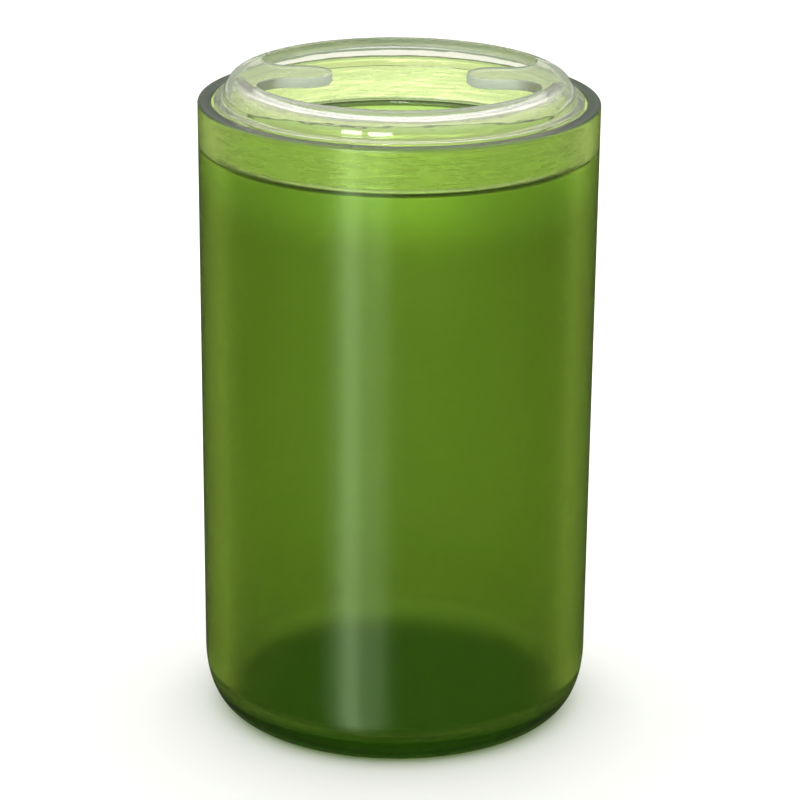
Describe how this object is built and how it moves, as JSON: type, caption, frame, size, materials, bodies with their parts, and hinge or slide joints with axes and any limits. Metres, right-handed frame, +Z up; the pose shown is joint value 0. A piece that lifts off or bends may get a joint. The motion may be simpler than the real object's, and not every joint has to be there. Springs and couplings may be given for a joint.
{
  "type": "tumbler jar",
  "caption": "Round-cornered green tumbler with a clear drop-in lid whose opening is divided by opposed tongues, for standing slim tools upright.",
  "frame": {"origin": "middle of the foot, on the surface the jar stands on", "axes": "+Z up along the jar; the lid's tongues lie along X; +Y points to the back"},
  "size_m": [0.07, 0.07, 0.1165],
  "materials": {
    "green_plastic": "translucent, satin outside and polished inside",
    "clear_plastic": "clear moulded plastic, polished"
  },
  "bodies": {
    "jar": {"jar_body": "green_plastic"},
    "lid": {"lid": "clear_plastic"}
  },
  "joints": [
    {"name": "lid_lift", "type": "slide", "parent": "jar", "child": "lid", "axis": [0, 0, 1], "range_m": [0, 0.03]}
  ]
}
